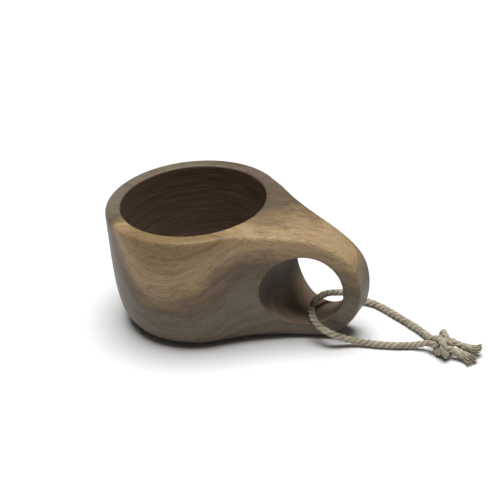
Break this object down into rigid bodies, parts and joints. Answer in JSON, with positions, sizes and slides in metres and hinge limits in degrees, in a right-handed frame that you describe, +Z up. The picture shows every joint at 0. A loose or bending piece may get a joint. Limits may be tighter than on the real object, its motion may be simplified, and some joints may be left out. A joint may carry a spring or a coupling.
{
  "type": "kuksa wooden cup",
  "caption": "One-piece carved wooden drinking cup with a round bowl, a solid handle bored with a finger hole, and a knotted cord loop through the hole",
  "frame": {"origin": "bottom centre of the cup's own bounding box, on the surface it stands on; the cord is not counted", "axes": "+X runs from the bowl to the handle's tip along the cup's length, +Y across the cup, normal to its mirror plane, +Z up out of the bowl"},
  "size_m": [0.2103, 0.0966, 0.0683],
  "materials": {
    "wood": "satin oiled",
    "cord": "matte twisted natural fibre"
  },
  "bodies": {
    "cup": {"cup_body": "wood"},
    "cord": {"cord_loop": "cord", "cord_knot": "cord", "cord_tail_a": "cord", "cord_tail_b": "cord"}
  },
  "joints": [
    {"name": "cord_swing", "type": "hinge", "parent": "cup", "child": "cord", "pos_m": [0.0429, 0, 0.015], "axis": [0, -1, 0], "range_deg": [0, 45]}
  ]
}
